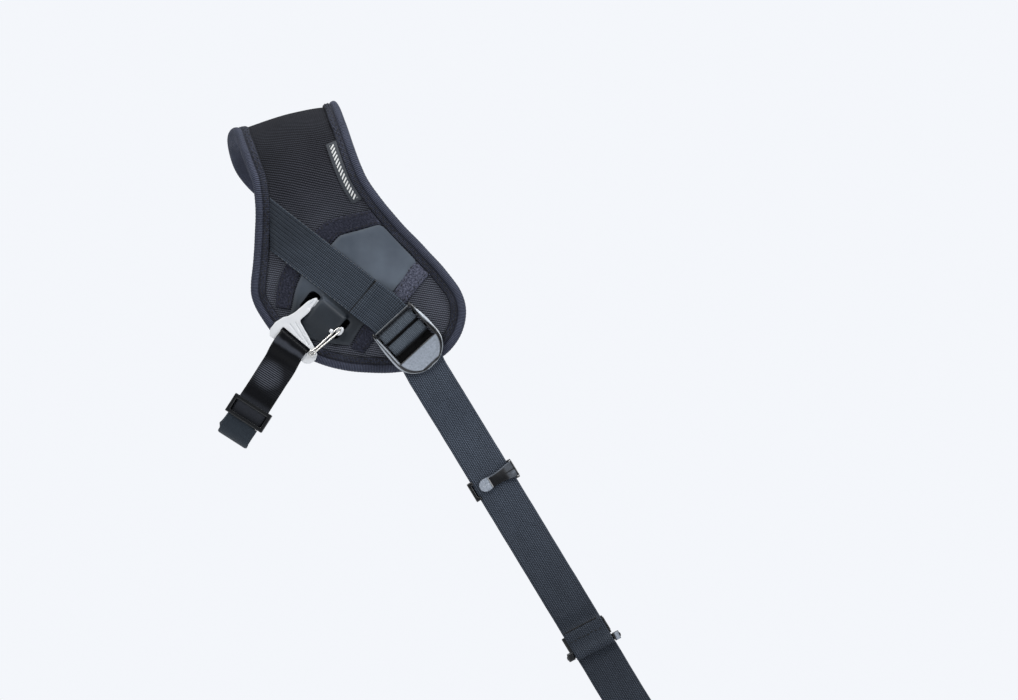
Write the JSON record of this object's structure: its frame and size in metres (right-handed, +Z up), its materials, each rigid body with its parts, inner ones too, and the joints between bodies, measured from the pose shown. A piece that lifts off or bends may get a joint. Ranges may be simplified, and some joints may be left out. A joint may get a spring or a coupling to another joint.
{
  "type": "cross-body sling strap",
  "caption": "Cross-body sling strap: curved padded shoulder rest, adjustable webbing loop, underarm stabiliser strap with carabiner, sliding stoppers and a swivel hook.",
  "frame": {"origin": "middle of the flat rest face, where the rear half of the pad lies on the wearer's shoulder blade", "axes": "+X towards the wearer's right side, +Y towards the wearer's front, +Z up; the rear half of the pad is flat and faces -Y"},
  "size_m": [0.3737, 0.2117, 0.5586],
  "materials": {
    "webbing": "matte dark blue-grey nylon webbing, fine plain weave",
    "pad_cloth": "black ballistic cloth with fine diagonal ribs",
    "binding": "ribbed knitted edge binding",
    "tape": "brushed tape with sewn edges",
    "foam": "closed-cell foam core",
    "lining": "spacer mesh lining",
    "anchor_rubber": "smooth matte rubber",
    "gloss_black": "moulded acetal, glossy",
    "white_cast": "white coated die casting",
    "steel": "polished stainless",
    "arm_webbing": "glossy ribbed webbing",
    "label": null
  },
  "bodies": {
    "pad": {"pad_outer_panel": "pad_cloth", "pad_foam_core": "foam", "pad_lining": "lining", "pad_edge_binding": "binding", "anchor_patch": "anchor_rubber", "patch_tape_upper": "tape", "patch_tape_lower": "tape", "rear_anchor_webbing": "webbing", "label_tag": "label", "main_webbing": "webbing", "front_reinforcement": "tape", "front_tab": "webbing", "underarm_webbing": "arm_webbing"},
    "ladder_buckle": {"ladder_buckle": "gloss_black", "ladder_webbing_wrap": "webbing"},
    "adjust_tail": {"tail_webbing": "webbing", "tail_triglide": "gloss_black"},
    "rear_stopper": {"rear_stopper_frame": "gloss_black", "rear_stopper_pin": "steel"},
    "rear_lever": {"rear_stopper_lever": "gloss_black"},
    "front_stopper": {"front_stopper_frame": "gloss_black", "front_stopper_pin": "steel"},
    "front_lever": {"front_stopper_lever": "gloss_black"},
    "carabiner": {"carabiner": "white_cast", "carabiner_rivet": "steel", "underarm_loop": "arm_webbing"},
    "carabiner_gate": {"carabiner_gate": "steel"},
    "underarm_slider": {"underarm_slider": "gloss_black"},
    "front_ring": {"front_ring": "gloss_black"},
    "connector": {"connector_carrier": "steel"},
    "connector_hook": {"connector_hook": "steel", "connector_gate_pin": "steel"},
    "connector_gate": {"connector_gate": "steel"},
    "connector_sleeve": {"connector_lock_sleeve": "gloss_black"}
  },
  "joints": [
    {"name": "buckle_tilt", "type": "hinge", "parent": "pad", "child": "ladder_buckle", "pos_m": [0.02969, -0.0143, -0.02169], "axis": [-0.7369, 0, -0.6759], "range_deg": [0, 25]},
    {"name": "tail_adjust", "type": "slide", "parent": "pad", "child": "adjust_tail", "axis": [0.5186, 0, -0.855], "range_m": [0, 0.015]},
    {"name": "rear_stopper_slide", "type": "slide", "parent": "pad", "child": "rear_stopper", "axis": [0.5186, 0, -0.855], "range_m": [-0.02, 0.07]},
    {"name": "rear_lever_open", "type": "hinge", "parent": "rear_stopper", "child": "rear_lever", "pos_m": [0.09847, -0.0059, -0.10599], "axis": [-0.5186, 0, 0.855], "range_deg": [0, 100]},
    {"name": "front_stopper_slide", "type": "slide", "parent": "pad", "child": "front_stopper", "axis": [0.5186, 0, -0.855], "range_m": [-0.1, 0.08]},
    {"name": "front_lever_open", "type": "hinge", "parent": "front_stopper", "child": "front_lever", "pos_m": [0.15729, 0.19143, -0.21067], "axis": [0.5186, 0, -0.855], "range_deg": [0, 100]},
    {"name": "carabiner_rock", "type": "hinge", "parent": "pad", "child": "carabiner", "pos_m": [-0.01556, -0.0121, -0.01152], "axis": [-0.7664, 0, 0.6424], "range_deg": [0, 8]},
    {"name": "gate_open", "type": "hinge", "parent": "carabiner", "child": "carabiner_gate", "pos_m": [-0.02087, -0.01535, -0.03747], "axis": [0, -1, 0], "range_deg": [0, 30]},
    {"name": "underarm_slider_slide", "type": "slide", "parent": "carabiner", "child": "underarm_slider", "axis": [-0.5388, 0, -0.8424], "range_m": [-0.014, 0.002]},
    {"name": "front_ring_swing", "type": "hinge", "parent": "pad", "child": "front_ring", "pos_m": [-0.01937, 0.14494, 0.0006], "axis": [0.8424, 0, -0.5388], "range_deg": [-6, 6]},
    {"name": "connector_slide", "type": "slide", "parent": "pad", "child": "connector", "axis": [0, 1, 0], "range_m": [-0.02, 0.02]},
    {"name": "connector_swivel", "type": "hinge", "parent": "connector", "child": "connector_hook", "pos_m": [0.26301, 0.09356, -0.40618], "axis": [0.5186, 0, -0.855], "continuous": true},
    {"name": "connector_gate_open", "type": "hinge", "parent": "connector_hook", "child": "connector_gate", "pos_m": [0.27348, 0.09356, -0.41071], "axis": [0, 1, 0], "range_deg": [0, 25]},
    {"name": "lock_sleeve_slide", "type": "slide", "parent": "connector_gate", "child": "connector_sleeve", "axis": [0.6207, 0, -0.7841], "range_m": [0, 0.006]}
  ]
}
